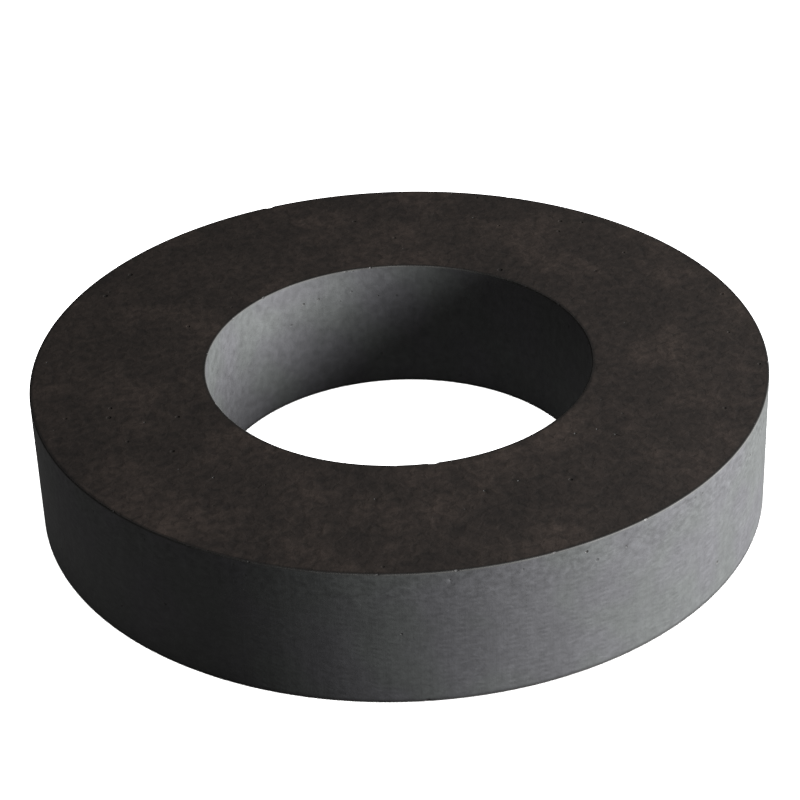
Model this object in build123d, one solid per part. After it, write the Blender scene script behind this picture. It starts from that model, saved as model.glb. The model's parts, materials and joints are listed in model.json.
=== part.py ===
from build123d import *
import os

# Ferrite ring magnet: one pressed and sintered ceramic ring with a plain straight bore.
# Millimetres. The origin is the centre of the lower pole face, and +Z runs up the bore's axis.

# Driving dimensions
OUTER_DIAMETER = 80.0
BORE_DIAMETER = 42.0
THICKNESS = 15.5  # from one ground pole face to the other
OUTER_EDGE_RADIUS = 0.15  # where the outer wall meets each pole face
BORE_EDGE_RADIUS = 0.15  # where the bore meets each pole face


def ring_section():
    """The ring's cross-section on the XZ plane, to one side of the axis, with rounded corners."""
    outer_radius = OUTER_DIAMETER / 2
    bore_radius = BORE_DIAMETER / 2
    with BuildSketch(Plane.XZ) as section:
        with Locations(((outer_radius + bore_radius) / 2, THICKNESS / 2)):
            Rectangle(outer_radius - bore_radius, THICKNESS)
        fillet(section.vertices().group_by(Axis.X)[0], radius=BORE_EDGE_RADIUS)
        fillet(section.vertices().group_by(Axis.X)[-1], radius=OUTER_EDGE_RADIUS)
    return section.sketch


def ring_magnet():
    """The section turned once round the bore's axis."""
    ring = revolve(ring_section(), axis=Axis.Z)
    ring.label = "ring_magnet"
    return ring


def main():
    os.makedirs("parts", exist_ok=True)
    export_step(ring_magnet(), "parts/ring_magnet.step")


main()
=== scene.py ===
import json
import math
import random
from collections import Counter

import bpy
from bpy.props import FloatProperty, FloatVectorProperty, IntProperty, PointerProperty
from mathutils import Matrix, Vector


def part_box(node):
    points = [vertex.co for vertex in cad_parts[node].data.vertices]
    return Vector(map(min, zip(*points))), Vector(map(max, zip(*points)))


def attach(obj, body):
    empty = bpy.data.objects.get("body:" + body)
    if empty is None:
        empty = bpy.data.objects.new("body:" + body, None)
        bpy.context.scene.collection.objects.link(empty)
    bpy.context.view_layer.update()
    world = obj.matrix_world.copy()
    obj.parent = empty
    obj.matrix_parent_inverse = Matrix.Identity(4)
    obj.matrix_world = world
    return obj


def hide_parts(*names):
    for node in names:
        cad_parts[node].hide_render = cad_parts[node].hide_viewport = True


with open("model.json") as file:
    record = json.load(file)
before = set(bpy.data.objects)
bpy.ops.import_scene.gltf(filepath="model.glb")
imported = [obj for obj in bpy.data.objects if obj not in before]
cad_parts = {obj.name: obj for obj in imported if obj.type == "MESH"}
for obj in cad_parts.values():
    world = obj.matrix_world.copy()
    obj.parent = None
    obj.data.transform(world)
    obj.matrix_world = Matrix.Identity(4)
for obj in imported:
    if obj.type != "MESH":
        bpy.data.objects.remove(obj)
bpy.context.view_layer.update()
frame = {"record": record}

# A ferrite ring magnet with its ground pole faces, sintered walls, worn edges, chips and pits.
# Metres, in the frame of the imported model: the bore runs along Z and the ring stands on z = 0.

bl_info = {
    "name": "Ferrite Ring Magnet",
    "version": (1, 0, 0),
    "blender": (4, 5, 0),
    "location": "View3D > Sidebar > Ring Magnet",
    "description": "Builds a sintered ferrite ring magnet and a plain studio round it",
    "category": "Add Mesh",
}

MM = 0.001
NODE = "ring_magnet"
LOW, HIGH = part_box(NODE)
BORE_MOUNT = next(m for m in frame["record"]["mounts"] if m["name"] == "bore")
OUTER_RADIUS = (HIGH[0] - LOW[0]) / 2
THICKNESS = HIGH[2] - LOW[2]
BORE_RADIUS = BORE_MOUNT["dims"]["r_mm"] * MM
EDGE_RADIUS = (THICKNESS - BORE_MOUNT["dims"]["length_mm"] * MM) / 2

SPIN_SLACK = 0.001 * MM  # rounding in the spin never carries the wall past its true radius
CUT_MERGE = 0.001 * MM  # corners nearer than this after a cut become one

LOOPS_NEAR_EDGE = (0.1 * MM, 0.35 * MM, 0.8 * MM, 1.6 * MM)  # crowded, so that shading stays clean
LOOP_SPACING = 2 * MM

SLOTS = ("ground_face", "outer_wall", "bore_wall", "worn_edge", "fresh_chip")
FLAT_NORMAL = 0.999  # upright part of a face's normal, from which it lies on a pole face
EDGE_NORMAL = 0.02  # and from which it lies on a rounded edge

WHOLE_SHARE = 0.18  # share of the places along a rim that nothing has chipped
LARGE_SHARE = 0.10  # share of the chips that are large
NEAR_RIM_SHARE = 0.6  # share of the wall's pits that lie in the band under its upper rim
RIM_BAND = 3.2 * MM  # depth of that band
PIT_MARGIN = 0.9 * MM  # pits keep this far from an edge
WALL_PIT_HALF = (0.12, 0.34)  # smallest and largest half width of a pit, in mm
FACE_PIT_HALF = (0.10, 0.26)
PIT_DEPTH_SHARE = (0.12, 0.24)  # depth of a pit over its half width
APART = 1.1  # bites lie at least this many times their reach from each other
PEBBLES = 4  # different tools that the bites are drawn from
SMOOTH_ANGLE = math.radians(28)
RIPPLE_COLUMNS = 150.0  # upright columns of ripple round the outer wall


# ---------------------------------------------------------------- settings

class RingSettings(bpy.types.PropertyGroup):
    """Sizes of the plain ring before anything has chipped it."""
    outer_radius: FloatProperty(
        name="Outer radius", description="Radius of the outer wall",
        default=OUTER_RADIUS, unit="LENGTH")
    bore_radius: FloatProperty(
        name="Bore radius", description="Radius of the straight bore",
        default=BORE_RADIUS, unit="LENGTH")
    thickness: FloatProperty(
        name="Thickness", description="Distance between the two pole faces",
        default=THICKNESS, unit="LENGTH")
    edge_radius: FloatProperty(
        name="Edge radius", description="Rounding of the four tumbled edges",
        default=EDGE_RADIUS, unit="LENGTH", precision=5)
    edge_segments: IntProperty(
        name="Edge segments", description="Faces across each rounded edge", default=6, min=2)
    turns_steps: IntProperty(
        name="Steps round", description="Steps of the spin round the bore's axis",
        default=480, min=64)


class WearSettings(bpy.types.PropertyGroup):
    """Chips along the rims and pits in the surfaces."""
    rim_chips: IntProperty(
        name="Chips a rim", description="Small bites along each of the four rims",
        default=28, min=0)
    chip_depth: FloatProperty(
        name="Chip depth", description="Deepest bite into a rim, from the sharp corner",
        default=0.22 * MM, unit="LENGTH", precision=5)
    wall_pits: IntProperty(
        name="Wall pits", description="Open pores in the outer wall", default=48, min=0)
    face_pits: IntProperty(
        name="Face pits", description="Open pores in each pole face", default=22, min=0)
    seed: IntProperty(
        name="Seed", description="Sets where the chips and pits fall", default=7)


class FinishSettings(bpy.types.PropertyGroup):
    """Colours of the ceramic on its ground, sintered and broken surfaces."""
    face_colour: FloatVectorProperty(
        name="Ground face", description="Warm black of the ground pole faces",
        subtype="COLOR", size=3, min=0, max=1, default=(0.0140, 0.0103, 0.0084))
    wall_colour: FloatVectorProperty(
        name="Sintered wall", description="Grey of the as-sintered walls",
        subtype="COLOR", size=3, min=0, max=1, default=(0.0445, 0.0474, 0.0470))
    wall_cast: FloatVectorProperty(
        name="Wall cast", description="Cooler grey that drifts through the walls",
        subtype="COLOR", size=3, min=0, max=1, default=(0.0450, 0.0452, 0.0490))
    edge_colour: FloatVectorProperty(
        name="Worn edge", description="Paler grey of the rubbed edges",
        subtype="COLOR", size=3, min=0, max=1, default=(0.0500, 0.0500, 0.0480))
    # Fresh fracture grain, set darker than the wall's grey as painted shade, so the chips and pits
    # stay dark where the lamps reach into them.
    chip_grain_and_shade_colour: FloatVectorProperty(
        name="Fresh chip", description="Dark grain inside a chip or a pit",
        subtype="COLOR", size=3, min=0, max=1, default=(0.0220, 0.0215, 0.0210))


class StageSettings(bpy.types.PropertyGroup):
    """Floor, lamps and camera."""
    floor_colour: FloatVectorProperty(
        name="Floor", description="Plain pale floor",
        subtype="COLOR", size=3, min=0, max=1, default=(0.9, 0.9, 0.9))
    floor_bounce: FloatProperty(
        name="Floor bounce", description="Share of its light that the floor throws back up",
        default=0.085, min=0, max=1, subtype="FACTOR")
    floor_size: FloatProperty(
        name="Floor size", description="Side of the square floor", default=6.0, unit="LENGTH")
    key_power: FloatProperty(
        name="Key power", description="Large low lamp at the right", default=8.8, unit="POWER")
    key_azimuth: FloatProperty(
        name="Key azimuth", description="Direction of the low lamp, from +X towards +Y",
        default=math.radians(-14), subtype="ANGLE")
    key_elevation: FloatProperty(
        name="Key elevation", description="Height of the low lamp above the horizon",
        default=math.radians(15.5), subtype="ANGLE")
    key_distance: FloatProperty(
        name="Key distance", description="From the middle of the ring to the low lamp",
        default=0.42, unit="LENGTH")
    key_width: FloatProperty(
        name="Key width", description="Level side of the low lamp", default=0.32, unit="LENGTH")
    key_height: FloatProperty(
        name="Key height", description="Upright side of the low lamp", default=0.155,
        unit="LENGTH", precision=4)
    fill_place: FloatVectorProperty(
        name="Fill place", description="Where the weak lamp hangs",
        subtype="TRANSLATION", size=3, default=(0.30, 0.05, 0.45))
    fill_size: FloatProperty(
        name="Fill size", description="Side of the weak square lamp", default=0.35,
        unit="LENGTH")
    floor_light: FloatProperty(
        name="Floor light", description="Strength of the even soft light on the floor",
        default=8.6, min=0)
    floor_softness: FloatProperty(
        name="Floor softness", description="Width in the sky of the light on the floor",
        default=math.radians(38), subtype="ANGLE")
    fill_power: FloatProperty(
        name="Fill power", description="Weak lamp above the right side that lights the ring",
        default=0.45, unit="POWER")
    shade_tint: FloatVectorProperty(
        name="Shade tint", description="Warm tint of the light that reaches the shaded side",
        subtype="COLOR", size=3, min=0, max=1, default=(1.0, 0.90, 0.84))
    world_strength: FloatProperty(
        name="World strength", description="Even light from all round", default=0.07, min=0)
    camera_distance: FloatProperty(
        name="Camera distance", description="From the middle of the top face",
        default=0.27022, unit="LENGTH", precision=5)
    camera_elevation: FloatProperty(
        name="Camera elevation", description="Height of the camera over the top face",
        default=math.radians(30.86), subtype="ANGLE")
    camera_dip: FloatProperty(
        name="Camera dip", description="How far it aims below the middle of the top face",
        default=math.radians(0.954), subtype="ANGLE")
    camera_roll: FloatProperty(
        name="Camera roll", description="Lean of the camera about its line of sight",
        default=math.radians(2.084), subtype="ANGLE")
    camera_lens: FloatProperty(
        name="Lens", description="Focal length on a 36 mm sensor", default=111.72,
        unit="CAMERA")


# ---------------------------------------------------------------- modelling helpers

def start_clean():
    """Leaves nothing selected and Object Mode on."""
    if bpy.context.object and bpy.context.object.mode != "OBJECT":
        bpy.ops.object.mode_set(mode="OBJECT")
    bpy.ops.object.select_all(action="DESELECT")


def edit_all():
    """Opens the active object for editing with all of it selected."""
    bpy.ops.object.mode_set(mode="EDIT")
    bpy.ops.mesh.select_all(action="SELECT")


def loop_places(low, high):
    """Places of the edge loops between two edges: close at both ends, about 2 mm apart between."""
    near = LOOPS_NEAR_EDGE
    inner_low, inner_high = low + near[-1], high - near[-1]
    count = max(2, round((inner_high - inner_low) / LOOP_SPACING))
    step = (inner_high - inner_low) / count
    middle = [inner_low + step * i for i in range(1, count)]
    return [low + n for n in near] + middle + [high - n for n in near]


def spin_section(sizes):
    """Draws the ring's rounded section, cuts its loops and spins it round Z."""
    wall = sizes.outer_radius - SPIN_SLACK - sizes.bore_radius
    middle = sizes.bore_radius + wall / 2
    start_clean()
    bpy.ops.mesh.primitive_plane_add(
        size=1, location=(middle, 0, sizes.thickness / 2), rotation=(math.pi / 2, 0, 0))
    ring = bpy.context.active_object
    ring.scale = (wall, sizes.thickness, 1)
    bpy.ops.object.transform_apply(location=True, rotation=True, scale=True)
    edit_all()
    bpy.ops.mesh.bevel(
        offset=sizes.edge_radius, segments=sizes.edge_segments, affect="VERTICES")
    bpy.ops.mesh.select_all(action="SELECT")
    bpy.ops.mesh.delete(type="ONLY_FACE")
    rounded = sizes.edge_radius
    for x in loop_places(sizes.bore_radius + rounded, sizes.outer_radius - rounded):
        bpy.ops.mesh.select_all(action="SELECT")
        bpy.ops.mesh.bisect(plane_co=(x, 0, 0), plane_no=(1, 0, 0))
    for z in loop_places(rounded, sizes.thickness - rounded):
        bpy.ops.mesh.select_all(action="SELECT")
        bpy.ops.mesh.bisect(plane_co=(0, 0, z), plane_no=(0, 0, 1))
    bpy.ops.mesh.select_all(action="SELECT")
    bpy.ops.mesh.spin(
        steps=sizes.turns_steps, angle=2 * math.pi, center=(0, 0, 0), axis=(0, 0, 1))
    bpy.ops.mesh.select_all(action="SELECT")
    bpy.ops.mesh.remove_doubles(threshold=0.001 * MM)
    bpy.ops.mesh.normals_make_consistent(inside=False)
    bpy.ops.object.mode_set(mode="OBJECT")
    ring.name = ring.data.name = "ferrite_ring"
    return ring


def name_surfaces(ring, sizes):
    """Gives each face the material slot of the surface that it lies on."""
    middle = (sizes.outer_radius + sizes.bore_radius) / 2
    for face in ring.data.polygons:
        upright = abs(face.normal.z)
        if upright > FLAT_NORMAL:
            face.material_index = SLOTS.index("ground_face")
        elif upright > EDGE_NORMAL:
            face.material_index = SLOTS.index("worn_edge")
        elif face.center.xy.length > middle:
            face.material_index = SLOTS.index("outer_wall")
        else:
            face.material_index = SLOTS.index("bore_wall")


# ---------------------------------------------------------------- chips and pits

def rough_pebble(name, seed, materials):
    """A lumpy ball of radius 1, the tool that bites chips and pits."""
    start_clean()
    bpy.ops.mesh.primitive_ico_sphere_add(subdivisions=3, radius=1)
    pebble = bpy.context.active_object
    edit_all()
    bpy.ops.transform.vertex_random(offset=0.16, uniform=0, normal=0, seed=seed)
    bpy.ops.mesh.vertices_smooth(factor=0.35, repeat=1)
    bpy.ops.object.mode_set(mode="OBJECT")
    pebble.name = name
    for material in materials:
        pebble.data.materials.append(material)
    for face in pebble.data.polygons:
        face.material_index = SLOTS.index("fresh_chip")
    return pebble


def rim_bites(sizes, wear, rng):
    """Where the rims are chipped: (place, half sizes along the rim, out and up, turn)."""
    found = []
    rims = [(r, z, 1 if r == sizes.outer_radius else -1, 1 if z else -1)
            for r in (sizes.outer_radius, sizes.bore_radius) for z in (0, sizes.thickness)]
    for radius, z, out, up in rims:
        step = 2 * math.pi / wear.rim_chips
        for i in range(wear.rim_chips):
            if rng.random() < WHOLE_SHARE:
                continue
            turn = (i + rng.uniform(0.15, 0.85)) * step
            large = rng.random() < LARGE_SHARE
            depth = wear.chip_depth * (rng.uniform(0.7, 1) if large else rng.uniform(0.4, 0.6))
            half = (rng.uniform(0.9, 1.5) if large else rng.uniform(0.35, 0.75)) * MM
            length = half * rng.uniform(0.8, 1.3)
            lean = rng.uniform(0.2, 0.8) * math.pi / 2
            away = half - depth
            place = (radius + out * away * math.cos(lean), z + up * away * math.sin(lean))
            found.append((turn, place[0], place[1], (half, length, half)))
    return found


def surface_bites(sizes, wear, rng):
    """Where pores open in the walls and the pole faces, in the same form as rim_bites."""
    found = []
    margin = PIT_MARGIN
    for _ in range(wear.wall_pits):
        turn = rng.uniform(0, 2 * math.pi)
        near_rim = rng.random() < NEAR_RIM_SHARE
        band = (margin, RIM_BAND) if near_rim else (RIM_BAND, sizes.thickness - margin)
        down = rng.uniform(*band)
        wide = rng.uniform(*WALL_PIT_HALF) * MM
        deep = wide * rng.uniform(*PIT_DEPTH_SHARE)
        found.append((turn, sizes.outer_radius + wide - deep, sizes.thickness - down,
                      (wide, wide * rng.uniform(0.8, 1.6), wide)))
    for z, up in ((0, -1), (sizes.thickness, 1)):
        for _ in range(wear.face_pits):
            turn = rng.uniform(0, 2 * math.pi)
            radius = math.sqrt(rng.uniform((sizes.bore_radius + margin) ** 2,
                                           (sizes.outer_radius - margin) ** 2))
            wide = rng.uniform(*FACE_PIT_HALF) * MM
            deep = wide * rng.uniform(*PIT_DEPTH_SHARE)
            found.append((turn, radius, z + up * (wide - deep),
                          (wide, wide * rng.uniform(0.8, 1.5), wide)))
    for _ in range(wear.face_pits):
        turn = rng.uniform(0, 2 * math.pi)
        wide = rng.uniform(*FACE_PIT_HALF) * MM
        deep = wide * rng.uniform(*PIT_DEPTH_SHARE)
        found.append((turn, sizes.bore_radius - wide + deep,
                      rng.uniform(margin, sizes.thickness - margin),
                      (wide, wide * rng.uniform(0.8, 1.5), wide)))
    return found


def apart(bites):
    """Drops each bite that would meet one already kept, so that the tools never overlap."""
    kept = []
    for turn, radius, z, halves in bites:
        place = Vector((radius * math.cos(turn), radius * math.sin(turn), z))
        reach = max(halves)
        if all((place - other).length > APART * (reach + far) for other, far, _ in kept):
            kept.append((place, reach, (turn, radius, z, halves)))
    return [bite for _, _, bite in kept]


def place_tools(pebbles, bites, rng):
    """Copies the pebbles to their bites and joins them into one cutting tool."""
    copies = []
    for turn, radius, z, halves in bites:
        pebble = rng.choice(pebbles)
        copy = bpy.data.objects.new("bite", pebble.data.copy())
        bpy.context.collection.objects.link(copy)
        spot = Matrix.Translation((radius * math.cos(turn), radius * math.sin(turn), z))
        size = Matrix.Diagonal((*halves, 1))
        lumps = Matrix.Rotation(rng.uniform(0, 2 * math.pi), 4, rng.choice("XYZ"))
        copy.matrix_world = spot @ Matrix.Rotation(turn, 4, "Z") @ size @ lumps
        copies.append(copy)
    start_clean()
    for copy in copies:
        copy.select_set(True)
    bpy.context.view_layer.objects.active = copies[0]
    bpy.ops.object.join()
    bpy.ops.object.transform_apply(location=True, rotation=True, scale=True)
    return bpy.context.active_object


def bite(ring, tool):
    """Takes the tool's shape out of the ring and removes the tool."""
    whole = len(ring.data.polygons)
    start_clean()
    ring.select_set(True)
    bpy.context.view_layer.objects.active = ring
    cut = ring.modifiers.new("bites", "BOOLEAN")
    cut.operation = "DIFFERENCE"
    cut.object = tool
    cut.solver = "MANIFOLD"
    bpy.ops.object.modifier_apply(modifier=cut.name)
    bpy.data.objects.remove(tool)
    if len(ring.data.polygons) <= whole:
        raise RuntimeError("the chips and pits were not cut")


def clean_cuts(ring):
    """Merges the slivers along the cuts and makes sure that the ring is still closed."""
    start_clean()
    ring.select_set(True)
    bpy.context.view_layer.objects.active = ring
    edit_all()
    bpy.ops.mesh.quads_convert_to_tris()
    bpy.ops.mesh.remove_doubles(threshold=CUT_MERGE)
    bpy.ops.mesh.dissolve_degenerate(threshold=CUT_MERGE)
    bpy.ops.mesh.select_all(action="SELECT")
    bpy.ops.mesh.delete_loose(use_verts=True, use_edges=True, use_faces=False)
    bpy.ops.object.mode_set(mode="OBJECT")
    sides = Counter(edge for face in ring.data.polygons for edge in face.edge_keys)
    if any(sides[edge] != 2 for edge in ring.data.edge_keys):
        raise RuntimeError("the ring is not closed after its cuts")


# ---------------------------------------------------------------- node helpers

def node_group(name, inputs, outputs):
    """An empty shader group with named float or vector inputs and float outputs."""
    group = bpy.data.node_groups.new(name, "ShaderNodeTree")
    for label, kind, default in inputs:
        socket = group.interface.new_socket(label, in_out="INPUT", socket_type=kind)
        if default is not None:
            socket.default_value = default
    for label, kind in outputs:
        group.interface.new_socket(label, in_out="OUTPUT", socket_type=kind)
    source = group.nodes.new("NodeGroupInput")
    sink = group.nodes.new("NodeGroupOutput")
    return group, source.outputs, sink.inputs


class Wiring:
    """Short ways to add nodes to one node tree."""

    def __init__(self, tree):
        self.tree = tree

    def feed(self, socket, value):
        """Links a socket, or sets its own value."""
        if isinstance(value, bpy.types.NodeSocket):
            self.tree.links.new(value, socket)
        else:
            socket.default_value = value

    def add(self, kind, **settings):
        node = self.tree.nodes.new(kind)
        for key, value in settings.items():
            setattr(node, key, value)
        return node

    def maths(self, operation, a, b=0.0, clamp=False):
        node = self.add("ShaderNodeMath", operation=operation, use_clamp=clamp)
        self.feed(node.inputs[0], a)
        self.feed(node.inputs[1], b)
        return node.outputs[0]

    def vector(self, operation, a, b=(0, 0, 0)):
        node = self.add("ShaderNodeVectorMath", operation=operation)
        self.feed(node.inputs[0], a)
        self.feed(node.inputs[1], b)
        return node.outputs["Value"] if operation == "LENGTH" else node.outputs["Vector"]

    def noise(self, place, scale, detail=2.0, roughness=0.5, distortion=0.0):
        node = self.add("ShaderNodeTexNoise", noise_dimensions="3D")
        self.feed(node.inputs["Vector"], place)
        self.feed(node.inputs["Scale"], scale)
        self.feed(node.inputs["Detail"], detail)
        self.feed(node.inputs["Roughness"], roughness)
        self.feed(node.inputs["Distortion"], distortion)
        return node.outputs["Fac"]

    def spread(self, value, low, high, to_low=0.0, to_high=1.0):
        """Maps low..high smoothly onto to_low..to_high."""
        node = self.add("ShaderNodeMapRange", interpolation_type="SMOOTHSTEP")
        for socket, number in zip(node.inputs, (value, low, high, to_low, to_high)):
            self.feed(socket, number)
        return node.outputs["Result"]

    def split(self, place):
        node = self.add("ShaderNodeSeparateXYZ")
        self.feed(node.inputs[0], place)
        return node.outputs

    def combine(self, x, y, z):
        node = self.add("ShaderNodeCombineXYZ")
        for socket, value in zip(node.inputs, (x, y, z)):
            self.feed(socket, value)
        return node.outputs[0]

    def tint(self, colour, factor):
        """A colour brightened or darkened by a factor."""
        node = self.add("ShaderNodeVectorMath", operation="SCALE")
        self.feed(node.inputs[0], colour)
        self.feed(node.inputs["Scale"], factor)
        return node.outputs["Vector"]

    def mix(self, factor, a, b):
        node = self.add("ShaderNodeMix", data_type="RGBA")
        self.feed(node.inputs["Factor"], factor)
        for name, value in (("A", a), ("B", b)):
            socket = next(s for s in node.inputs if s.name == name and s.type == "RGBA")
            self.feed(socket, (*value, 1.0) if isinstance(value, tuple) else value)
        return next(s for s in node.outputs if s.type == "RGBA")

    def group(self, name, **values):
        node = self.add("ShaderNodeGroup", node_tree=bpy.data.node_groups[name])
        for label, value in values.items():
            self.feed(node.inputs[label.replace("_", " ")], value)
        return node.outputs


# ---------------------------------------------------------------- surface effects

def sinter_grain_group():
    """Fine sintered grain: a brightness round 1 and a height from 0 to 1."""
    group, given, out = node_group(
        "sinter grain",
        [("Position", "NodeSocketVector", None), ("Grain size", "NodeSocketFloat", 0.15 * MM),
         ("Contrast", "NodeSocketFloat", 0.2)],
        [("Brightness", "NodeSocketFloat"), ("Height", "NodeSocketFloat")])
    w = Wiring(group)
    scale = w.maths("DIVIDE", 1.0, given["Grain size"])
    fine = w.noise(given["Position"], scale, detail=3.0, roughness=0.62)
    coarse = w.noise(given["Position"], w.maths("MULTIPLY", scale, 0.31), detail=2.0)
    height = w.maths("ADD", w.maths("MULTIPLY", fine, 0.6), w.maths("MULTIPLY", coarse, 0.4))
    swing = w.maths("MULTIPLY", w.maths("SUBTRACT", height, 0.5), given["Contrast"])
    w.feed(out["Brightness"], w.maths("ADD", w.maths("MULTIPLY", swing, 2.0), 1.0))
    w.feed(out["Height"], height)
    return group


def mottling_group():
    """Cloudy patches: a brightness round 1 and a height from 0 to 1."""
    group, given, out = node_group(
        "mottling",
        [("Position", "NodeSocketVector", None), ("Patch size", "NodeSocketFloat", 6 * MM),
         ("Contrast", "NodeSocketFloat", 0.2)],
        [("Brightness", "NodeSocketFloat"), ("Height", "NodeSocketFloat")])
    w = Wiring(group)
    scale = w.maths("DIVIDE", 1.0, given["Patch size"])
    cloud = w.noise(given["Position"], scale, detail=2.0, roughness=0.5, distortion=0.4)
    swing = w.maths("MULTIPLY", w.maths("SUBTRACT", cloud, 0.5), given["Contrast"])
    w.feed(out["Brightness"], w.maths("ADD", w.maths("MULTIPLY", swing, 2.0), 1.0))
    w.feed(out["Height"], cloud)
    return group


def pores_group():
    """Scattered pores: a mask that is 1 inside a pore."""
    group, given, out = node_group(
        "pores",
        [("Position", "NodeSocketVector", None), ("Spacing", "NodeSocketFloat", 1.5 * MM),
         ("Pore size", "NodeSocketFloat", 0.12), ("Share", "NodeSocketFloat", 0.3)],
        [("Mask", "NodeSocketFloat")])
    w = Wiring(group)
    cells = w.add("ShaderNodeTexVoronoi", voronoi_dimensions="3D", feature="F1")
    w.feed(cells.inputs["Vector"], given["Position"])
    w.feed(cells.inputs["Scale"], w.maths("DIVIDE", 1.0, given["Spacing"]))
    w.feed(cells.inputs["Randomness"], 1.0)
    pick = w.split(cells.outputs["Color"])
    chosen = w.maths("LESS_THAN", pick["X"], given["Share"])
    size = w.maths("MULTIPLY", given["Pore size"], w.maths("ADD", pick["Y"], 0.4))
    inside = w.spread(cells.outputs["Distance"], size, w.maths("MULTIPLY", size, 0.4))
    w.feed(out["Mask"], w.maths("MULTIPLY", inside, chosen))
    return group


def grinding_arcs_group():
    """Fine arcs left by a grinding wheel turning about a far centre: a height from 0 to 1."""
    group, given, out = node_group(
        "grinding arcs",
        [("Position", "NodeSocketVector", None), ("Wheel centre", "NodeSocketVector", (0, 0, 0)),
         ("Spacing", "NodeSocketFloat", 0.25 * MM), ("Length", "NodeSocketFloat", 8 * MM)],
        [("Height", "NodeSocketFloat"), ("Patches", "NodeSocketFloat")])
    w = Wiring(group)
    from_centre = w.vector("SUBTRACT", given["Position"], given["Wheel centre"])
    part = w.split(from_centre)
    across = w.vector("LENGTH", w.combine(part["X"], part["Y"], 0.0))
    turn = w.maths("ARCTAN2", part["Y"], part["X"])
    along = w.maths("MULTIPLY", turn, across)
    lines = w.combine(w.maths("DIVIDE", across, given["Spacing"]),
                      w.maths("DIVIDE", along, given["Length"]), 0.0)
    w.feed(out["Height"], w.noise(lines, 1.0, detail=2.0, roughness=0.6))
    patches = w.noise(given["Position"], 1 / (9 * MM), detail=2.0, roughness=0.6)
    w.feed(out["Patches"], w.spread(patches, 0.42, 0.68))
    return group


def draw_lines_group():
    """Faint upright lines left by the pressing die: a brightness round 1 and a height."""
    group, given, out = node_group(
        "draw lines",
        [("Position", "NodeSocketVector", None), ("Line width", "NodeSocketFloat", 0.7 * MM),
         ("Contrast", "NodeSocketFloat", 0.1)],
        [("Brightness", "NodeSocketFloat"), ("Height", "NodeSocketFloat")])
    w = Wiring(group)
    part = w.split(given["Position"])
    flat = w.combine(part["X"], part["Y"], w.maths("MULTIPLY", part["Z"], 0.035))
    lines = w.noise(flat, w.maths("DIVIDE", 1.0, given["Line width"]), detail=3.0, roughness=0.6)
    swing = w.maths("MULTIPLY", w.maths("SUBTRACT", lines, 0.5), given["Contrast"])
    w.feed(out["Brightness"], w.maths("ADD", w.maths("MULTIPLY", swing, 2.0), 1.0))
    w.feed(out["Height"], lines)
    return group


def press_ripple_group():
    """Short level ripples stacked in narrow upright columns round a wall: a height about 0."""
    group, given, out = node_group(
        "press ripple",
        [("Position", "NodeSocketVector", None), ("Spacing", "NodeSocketFloat", 0.6 * MM),
         ("Columns round", "NodeSocketFloat", RIPPLE_COLUMNS)],
        [("Height", "NodeSocketFloat")])
    w = Wiring(group)
    part = w.split(given["Position"])
    turn = w.maths("DIVIDE", w.maths("ARCTAN2", part["Y"], part["X"]), 2 * math.pi)
    across = w.maths("MULTIPLY", turn, given["Columns round"])
    column = w.maths("FLOOR", across)
    draw = w.add("ShaderNodeTexWhiteNoise", noise_dimensions="1D")
    w.feed(draw.inputs["W"], column)
    chance = w.split(draw.outputs["Color"])
    wander = w.noise(given["Position"], 1 / (1.2 * MM), detail=1.0)
    rows = w.maths("ADD", w.maths("DIVIDE", part["Z"], given["Spacing"]),
                   w.maths("ADD", chance["X"], w.maths("MULTIPLY", wander, 0.9)))
    wave = w.maths("SINE", w.maths("MULTIPLY", rows, 2 * math.pi))
    inside = w.maths("SINE", w.maths("MULTIPLY", w.maths("FRACT", across), math.pi))
    strong = w.spread(chance["Y"], 0.1, 0.9, 0.15, 1.0)
    broken = w.spread(w.noise(given["Position"], 1 / (1.0 * MM), detail=1.0), 0.35, 0.55)
    reach = w.maths("MULTIPLY", w.maths("MULTIPLY", inside, strong), broken)
    w.feed(out["Height"], w.maths("MULTIPLY", w.maths("MULTIPLY", wave, 0.5), reach))
    return group


def painted_rim_shade_group():
    """How near a point of a pole face is to either rim, for the painted shade along both rims: 1 at
    the rim, 0 past the width.
    """
    group, given, out = node_group(
        "painted rim shade",
        [("Position", "NodeSocketVector", None), ("Inner radius", "NodeSocketFloat", BORE_RADIUS),
         ("Outer radius", "NodeSocketFloat", OUTER_RADIUS), ("Width", "NodeSocketFloat", 0.5 * MM)],
        [("Mask", "NodeSocketFloat")])
    w = Wiring(group)
    part = w.split(given["Position"])
    radius = w.vector("LENGTH", w.combine(part["X"], part["Y"], 0.0))
    gap = w.maths("MINIMUM", w.maths("SUBTRACT", radius, given["Inner radius"]),
                  w.maths("SUBTRACT", given["Outer radius"], radius))
    w.feed(out["Mask"], w.spread(gap, w.maths("MULTIPLY", given["Width"], 0.3),
                                 given["Width"], 1.0, 0.0))
    return group


# ---------------------------------------------------------------- materials

def new_material(name):
    """A material with an empty Principled shader, its wiring and its position on the ring."""
    material = bpy.data.materials.new(name)
    material.use_nodes = True
    w = Wiring(material.node_tree)
    shader = material.node_tree.nodes["Principled BSDF"]
    place = w.add("ShaderNodeTexCoord").outputs["Object"]
    return material, w, shader, place


def finish_normal(w, shader, height, distance):
    """Turns a height into the shader's normal, with the height's own size in metres."""
    bump = w.add("ShaderNodeBump")
    bump.inputs["Strength"].default_value = 1.0
    w.feed(bump.inputs["Distance"], distance)
    w.feed(bump.inputs["Height"], height)
    w.feed(shader.inputs["Normal"], bump.outputs["Normal"])


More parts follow.
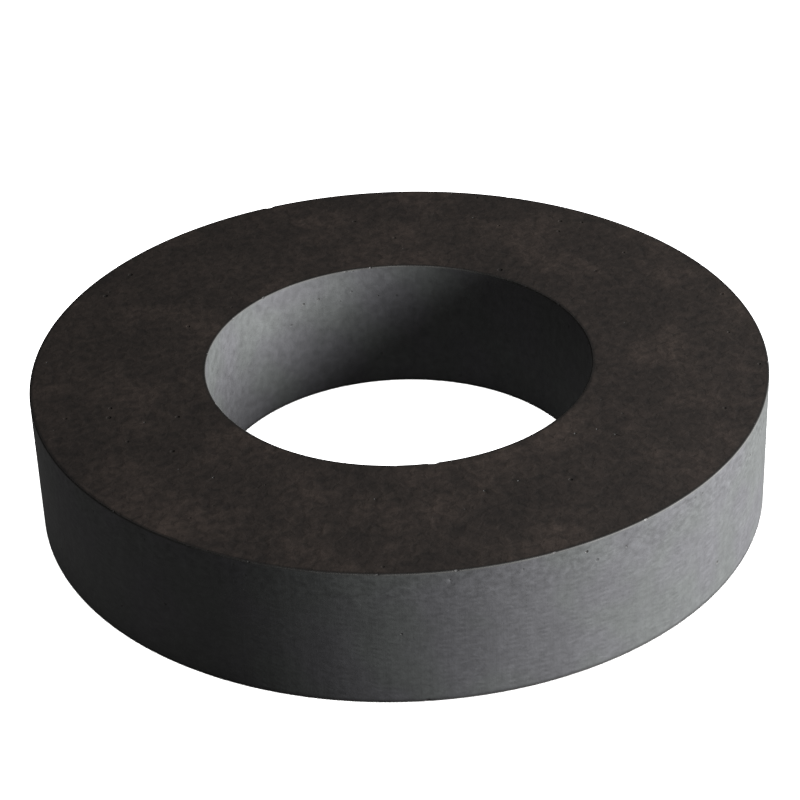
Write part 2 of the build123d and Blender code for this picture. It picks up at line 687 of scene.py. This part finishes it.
def ground_face_material(colours, sizes):
    """Pole face: warm black, cloudy, with grinding arcs, grain and a few pores, and painted shade
    in the pores and along both rims.
    """
    material, w, shader, place = new_material("ground_face")
    grain = w.group("sinter grain", Position=place, Grain_size=0.30 * MM, Contrast=0.22)
    cloud = w.group("mottling", Position=place, Patch_size=6 * MM, Contrast=0.34)
    speckle = w.group("mottling", Position=place, Patch_size=0.95 * MM, Contrast=0.95)
    border = w.group("painted rim shade", Position=place, Inner_radius=sizes.bore_radius,
                     Outer_radius=sizes.outer_radius, Width=0.55 * MM)
    arcs = w.group("grinding arcs", Position=place, Wheel_centre=(-0.030, 0.085, 0),
                   Spacing=0.30 * MM, Length=7 * MM)
    cross = w.group("grinding arcs", Position=place, Wheel_centre=(-0.095, -0.020, 0),
                    Spacing=0.36 * MM, Length=6 * MM)
    pores = w.group("pores", Position=place, Spacing=2.4 * MM, Pore_size=0.11, Share=0.35)
    worn = w.maths("MULTIPLY", arcs["Height"], arcs["Patches"])
    crossed = w.maths("MULTIPLY", cross["Height"], cross["Patches"])
    marks = w.maths("ADD", worn, w.maths("MULTIPLY", crossed, 0.6))
    light = w.maths("MULTIPLY", grain["Brightness"], cloud["Brightness"])
    light = w.maths("MULTIPLY", light, speckle["Brightness"])
    light = w.maths("MULTIPLY", light, w.maths("ADD", w.maths("MULTIPLY", marks, 0.7), 0.72))
    # Painted shade inside the pores: the colour darkens to 0.45 there.
    light = w.maths("MULTIPLY", light, w.spread(pores["Mask"], 0, 1, 1.0, 0.45))
    # Painted shade: the pole face darkens to 0.45 in a narrow border along both rims.
    light = w.maths("MULTIPLY", light, w.spread(border["Mask"], 0, 1, 1.0, 0.45))
    w.feed(shader.inputs["Base Color"], w.tint(tuple(colours.face_colour), light))
    w.feed(shader.inputs["Roughness"], w.spread(marks, 0, 1.2, 0.74, 0.70))
    shader.inputs["Specular IOR Level"].default_value = 0.22
    height = w.maths("ADD", w.maths("MULTIPLY", grain["Height"], 0.3),
                     w.maths("MULTIPLY", marks, 0.25))
    height = w.maths("ADD", height, w.maths("MULTIPLY", speckle["Height"], 1.2))
    height = w.maths("SUBTRACT", height, w.maths("MULTIPLY", pores["Mask"], 1.5))
    finish_normal(w, shader, height, 0.050 * MM)
    return material


def wall_colour(w, place, colours):
    """The walls' grey, drifting between its two casts."""
    drift = w.noise(place, 1 / (7 * MM), detail=1.0)
    return w.mix(w.spread(drift, 0.38, 0.62), tuple(colours.wall_colour), tuple(colours.wall_cast))


def painted_foot_shade(w, place):
    """Painted shade along the foot of a wall, where the ring stands on the floor: a brightness up
    to 1.
    """
    return w.spread(w.split(place)["Z"], 0.10 * MM, 0.55 * MM, 0.40, 1.0)


def outer_wall_material(colours, thickness):
    """Outer wall: grey as sintered, mottled under the rim, with ripples below that, and painted
    shade in its pores and along its foot.
    """
    material, w, shader, place = new_material("outer_wall")
    up = w.split(place)["Z"]
    grain = w.group("sinter grain", Position=place, Grain_size=0.26 * MM, Contrast=0.16)
    cloud = w.group("mottling", Position=place, Patch_size=4 * MM, Contrast=0.18)
    flattened = w.vector("MULTIPLY", place, (1.0, 1.0, 1.5))
    speckle = w.group("mottling", Position=flattened, Patch_size=0.85 * MM, Contrast=0.72)
    lines = w.group("draw lines", Position=place, Line_width=1.1 * MM, Contrast=0.14)
    ripple = w.group("press ripple", Position=place, Spacing=0.6 * MM)
    pores = w.group("pores", Position=place, Spacing=1.3 * MM, Pore_size=0.16, Share=0.40)
    below = w.spread(up, thickness - 2.6 * MM, thickness - 4.0 * MM)
    above = w.maths("SUBTRACT", 1.0, w.maths("MULTIPLY", below, 0.85))
    open_pores = w.maths("MULTIPLY", pores["Mask"], above)
    waves = w.maths("MULTIPLY", ripple["Height"], below)
    mottled = w.maths("MULTIPLY", w.maths("SUBTRACT", speckle["Brightness"], 1.0),
                      w.spread(below, 0, 1, 1.0, 0.55))
    light = w.maths("MULTIPLY", grain["Brightness"], cloud["Brightness"])
    light = w.maths("MULTIPLY", light, lines["Brightness"])
    light = w.maths("MULTIPLY", light, w.maths("ADD", mottled, 1.0))
    light = w.maths("MULTIPLY", light, w.maths("ADD", w.maths("MULTIPLY", waves, 0.16), 1.0))
    # Painted shade inside the open pores: the colour darkens to 0.6 there.
    light = w.maths("MULTIPLY", light, w.spread(open_pores, 0, 1, 1.0, 0.6))
    # Painted shade: the outer wall darkens towards its foot, where it meets the floor.
    light = w.maths("MULTIPLY", light, painted_foot_shade(w, place))
    w.feed(shader.inputs["Base Color"], w.tint(wall_colour(w, place, colours), light))
    w.feed(shader.inputs["Roughness"], w.spread(grain["Height"], 0.3, 0.7, 0.62, 0.72))
    shader.inputs["Specular IOR Level"].default_value = 0.5
    height = w.maths("ADD", w.maths("MULTIPLY", grain["Height"], 0.6),
                     w.maths("MULTIPLY", lines["Height"], 0.5))
    height = w.maths("ADD", height, w.maths("MULTIPLY", waves, 0.40))
    height = w.maths("ADD", height, w.maths("MULTIPLY", speckle["Height"], 0.35))
    height = w.maths("SUBTRACT", height, w.maths("MULTIPLY", open_pores, 0.8))
    finish_normal(w, shader, height, 0.034 * MM)
    return material


def bore_wall_material(colours):
    """Bore: the same grey skin, a little smoother, with draw lines from the core rod, and painted
    shade in its pores and along its foot.
    """
    material, w, shader, place = new_material("bore_wall")
    grain = w.group("sinter grain", Position=place, Grain_size=0.20 * MM, Contrast=0.14)
    cloud = w.group("mottling", Position=place, Patch_size=4 * MM, Contrast=0.20)
    speckle = w.group("mottling", Position=place, Patch_size=0.85 * MM, Contrast=0.5)
    lines = w.group("draw lines", Position=place, Line_width=0.9 * MM, Contrast=0.12)
    pores = w.group("pores", Position=place, Spacing=1.8 * MM, Pore_size=0.14, Share=0.3)
    light = w.maths("MULTIPLY", grain["Brightness"], cloud["Brightness"])
    light = w.maths("MULTIPLY", light, speckle["Brightness"])
    light = w.maths("MULTIPLY", light, lines["Brightness"])
    # Painted shade inside the pores: the colour darkens to 0.65 there.
    light = w.maths("MULTIPLY", light, w.spread(pores["Mask"], 0, 1, 1.0, 0.65))
    # Painted shade: the bore darkens towards its foot, where it meets the floor.
    light = w.maths("MULTIPLY", light, painted_foot_shade(w, place))
    w.feed(shader.inputs["Base Color"], w.tint(wall_colour(w, place, colours), light))
    w.feed(shader.inputs["Roughness"], w.spread(grain["Height"], 0.3, 0.7, 0.60, 0.70))
    shader.inputs["Specular IOR Level"].default_value = 0.5
    height = w.maths("ADD", w.maths("MULTIPLY", grain["Height"], 0.6),
                     w.maths("MULTIPLY", lines["Height"], 0.4))
    height = w.maths("SUBTRACT", height, w.maths("MULTIPLY", pores["Mask"], 0.8))
    finish_normal(w, shader, height, 0.028 * MM)
    return material


def worn_edge_material(colours, sizes):
    """Rounded edges: the ground face's black runs over the brow, rubbed grey below it."""
    material, w, shader, place = new_material("worn_edge")
    up = w.split(place)["Z"]
    brow = w.maths("MINIMUM", up, w.maths("SUBTRACT", sizes.thickness, up))
    bare = w.spread(brow, 0.12 * sizes.edge_radius, 0.40 * sizes.edge_radius, 0.22, 1.0)
    grain = w.group("sinter grain", Position=place, Grain_size=0.16 * MM, Contrast=0.35)
    cloud = w.group("mottling", Position=place, Patch_size=2.5 * MM, Contrast=0.5)
    light = w.maths("MULTIPLY", grain["Brightness"], cloud["Brightness"])
    light = w.maths("MULTIPLY", light, bare)
    w.feed(shader.inputs["Base Color"], w.tint(tuple(colours.edge_colour), light))
    w.feed(shader.inputs["Roughness"], w.spread(grain["Height"], 0.3, 0.7, 0.6, 0.75))
    shader.inputs["Specular IOR Level"].default_value = 0.3
    finish_normal(w, shader, grain["Height"], 0.03 * MM)
    return material


def fresh_chip_material(colours):
    """Inside chips and pits: coarse dark grain that sparkles a little, with a colour darkened as
    painted shade in the hollows.
    """
    material, w, shader, place = new_material("fresh_chip")
    grain = w.group("sinter grain", Position=place, Grain_size=0.12 * MM, Contrast=0.6)
    w.feed(shader.inputs["Base Color"], w.tint(tuple(colours.chip_grain_and_shade_colour), grain["Brightness"]))
    w.feed(shader.inputs["Roughness"], w.spread(grain["Height"], 0.3, 0.7, 0.45, 0.75))
    shader.inputs["Specular IOR Level"].default_value = 0.5
    finish_normal(w, shader, grain["Height"], 0.05 * MM)
    return material


def build_materials(colours, sizes):
    """The shared effects and the five finishes, in the order of SLOTS."""
    for effect in (sinter_grain_group, mottling_group, pores_group, grinding_arcs_group,
                   draw_lines_group, press_ripple_group, painted_rim_shade_group):
        effect()
    return [ground_face_material(colours, sizes), outer_wall_material(colours, sizes.thickness),
            bore_wall_material(colours), worn_edge_material(colours, sizes),
            fresh_chip_material(colours)]


# ---------------------------------------------------------------- stage

def floor_material(colour, bounce):
    """Plain pale paper that throws back only a share of its light, so dark walls stay dark."""
    material, w, shader, _ = new_material("pale_floor")
    seen = w.add("ShaderNodeLightPath").outputs["Is Camera Ray"]
    w.feed(shader.inputs["Base Color"], w.tint(tuple(colour), w.maths("MAXIMUM", seen, bounce)))
    shader.inputs["Roughness"].default_value = 0.95
    shader.inputs["Specular IOR Level"].default_value = 0.0
    return material


def add_lamp(name, power, place, aim, width, height):
    """A soft rectangular lamp at a place, facing a point."""
    lamp = bpy.data.lights.new(name, "AREA")
    lamp.shape = "RECTANGLE"
    lamp.size, lamp.size_y = width, height
    lamp.energy = power
    holder = bpy.data.objects.new(name, lamp)
    holder.location = place
    holder.rotation_euler = (aim - place).to_track_quat("-Z", "Y").to_euler()
    bpy.context.collection.objects.link(holder)
    return holder


def add_sky(name, strength, softness):
    """A broad even light straight down, the same all over the floor."""
    lamp = bpy.data.lights.new(name, "SUN")
    lamp.energy = strength
    lamp.angle = softness
    holder = bpy.data.objects.new(name, lamp)
    bpy.context.collection.objects.link(holder)
    return holder


def light_only(lamp, piece):
    """Keeps a lamp off everything but one piece."""
    lit = bpy.data.collections.new(f"lit by {lamp.name}")
    lit.objects.link(piece)
    lamp.light_linking.receiver_collection = lit


def add_camera(stage, target):
    """The camera: out along its elevation, aimed a little below the target, and rolled."""
    lens = bpy.data.cameras.new("camera")
    lens.sensor_width = 36
    lens.lens = stage.camera_lens
    lens.clip_start, lens.clip_end = 0.01, 50
    holder = bpy.data.objects.new("camera", lens)
    back = Vector((0, -math.cos(stage.camera_elevation), math.sin(stage.camera_elevation)))
    down = stage.camera_elevation + stage.camera_dip
    holder.matrix_world = (
        Matrix.Translation(target + back * stage.camera_distance)
        @ Matrix.Rotation(math.pi / 2 - down, 4, "X")
        @ Matrix.Rotation(-stage.camera_roll, 4, "Z"))
    bpy.context.collection.objects.link(holder)
    bpy.context.scene.camera = holder


def light_world(strength, tint):
    """Even dim light from all round, which the camera sees as a pale backdrop."""
    world = bpy.data.worlds.new("studio")
    world.use_nodes = True
    w = Wiring(world.node_tree)
    backdrop = world.node_tree.nodes["Background"]
    seen = w.add("ShaderNodeLightPath").outputs["Is Camera Ray"]
    w.feed(backdrop.inputs["Color"], w.mix(seen, tuple(tint), (1.0, 1.0, 1.0)))
    w.feed(backdrop.inputs["Strength"], w.maths("MAXIMUM", seen, strength))
    bpy.context.scene.world = world


# ---------------------------------------------------------------- operators

class MAGNET_OT_ring(bpy.types.Operator):
    """Builds the ring with its finishes, chips and pits in place of the plain solid"""
    bl_idname = "magnet.ring"
    bl_label = "Ferrite ring"

    def execute(self, context):
        scene = context.scene
        sizes, wear = scene.magnet_ring, scene.magnet_wear
        materials = build_materials(scene.magnet_finish, sizes)
        ring = spin_section(sizes)
        for material in materials:
            ring.data.materials.append(material)
        name_surfaces(ring, sizes)
        rng = random.Random(wear.seed)
        pebbles = [rough_pebble(f"pebble_{i}", i, materials) for i in range(PEBBLES)]
        bites = apart(rim_bites(sizes, wear, rng) + surface_bites(sizes, wear, rng))
        bite(ring, place_tools(pebbles, bites, rng))
        clean_cuts(ring)
        for pebble in pebbles:
            bpy.data.objects.remove(pebble)
        start_clean()
        ring.select_set(True)
        context.view_layer.objects.active = ring
        bpy.ops.object.shade_smooth_by_angle(angle=SMOOTH_ANGLE)
        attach(ring, "root")
        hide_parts(NODE)
        return {"FINISHED"}


class MAGNET_OT_stage(bpy.types.Operator):
    """Adds the pale floor, the soft lamps, the world and the camera"""
    bl_idname = "magnet.stage"
    bl_label = "Studio"

    def execute(self, context):
        scene = context.scene
        stage, sizes = scene.magnet_stage, scene.magnet_ring
        start_clean()
        bpy.ops.mesh.primitive_plane_add(size=stage.floor_size, location=(0, 0, 0))
        floor = context.active_object
        floor.name = floor.data.name = "floor"
        floor.data.materials.append(floor_material(stage.floor_colour, stage.floor_bounce))
        middle = Vector((0, 0, sizes.thickness / 2))
        side, rise = stage.key_azimuth, stage.key_elevation
        out = Vector((math.cos(side) * math.cos(rise), math.sin(side) * math.cos(rise),
                      math.sin(rise)))
        ring = bpy.data.objects["ferrite_ring"]
        key = add_lamp("key", stage.key_power, middle + out * stage.key_distance, middle,
                       stage.key_width, stage.key_height)
        fill = add_lamp("fill", stage.fill_power, Vector(stage.fill_place), middle,
                        stage.fill_size, stage.fill_size)
        light_only(key, ring)
        light_only(fill, ring)
        light_only(add_sky("floor light", stage.floor_light, stage.floor_softness), floor)
        light_world(stage.world_strength, stage.shade_tint)
        add_camera(stage, Vector((0, 0, sizes.thickness)))
        scene.view_settings.view_transform = "Standard"
        return {"FINISHED"}


class MAGNET_PT_panel(bpy.types.Panel):
    """Sizes, wear, finishes and studio of the ring magnet"""
    bl_label = "Ring Magnet"
    bl_idname = "MAGNET_PT_panel"
    bl_space_type = "VIEW_3D"
    bl_region_type = "UI"
    bl_category = "Ring Magnet"

    def draw(self, context):
        scene = context.scene
        for label, settings, operator in (
                ("Ring", scene.magnet_ring, MAGNET_OT_ring.bl_idname),
                ("Wear", scene.magnet_wear, None),
                ("Finish", scene.magnet_finish, None),
                ("Studio", scene.magnet_stage, MAGNET_OT_stage.bl_idname)):
            box = self.layout.box()
            box.label(text=label)
            for name in settings.bl_rna.properties.keys():
                if name not in ("rna_type", "name"):
                    box.prop(settings, name)
            if operator:
                box.operator(operator)


CLASSES = (RingSettings, WearSettings, FinishSettings, StageSettings,
           MAGNET_OT_ring, MAGNET_OT_stage, MAGNET_PT_panel)


def register():
    """Adds the classes and hangs their settings on the scene."""
    for cls in CLASSES:
        bpy.utils.register_class(cls)
    bpy.types.Scene.magnet_ring = PointerProperty(type=RingSettings)
    bpy.types.Scene.magnet_wear = PointerProperty(type=WearSettings)
    bpy.types.Scene.magnet_finish = PointerProperty(type=FinishSettings)
    bpy.types.Scene.magnet_stage = PointerProperty(type=StageSettings)


def unregister():
    """Takes the settings and the classes away again."""
    for name in ("magnet_ring", "magnet_wear", "magnet_finish", "magnet_stage"):
        delattr(bpy.types.Scene, name)
    for cls in reversed(CLASSES):
        bpy.utils.unregister_class(cls)


def main():
    """Builds the ring and its studio."""
    register()
    bpy.ops.magnet.ring()
    bpy.ops.magnet.stage()


if __name__ == "__main__":
    main()
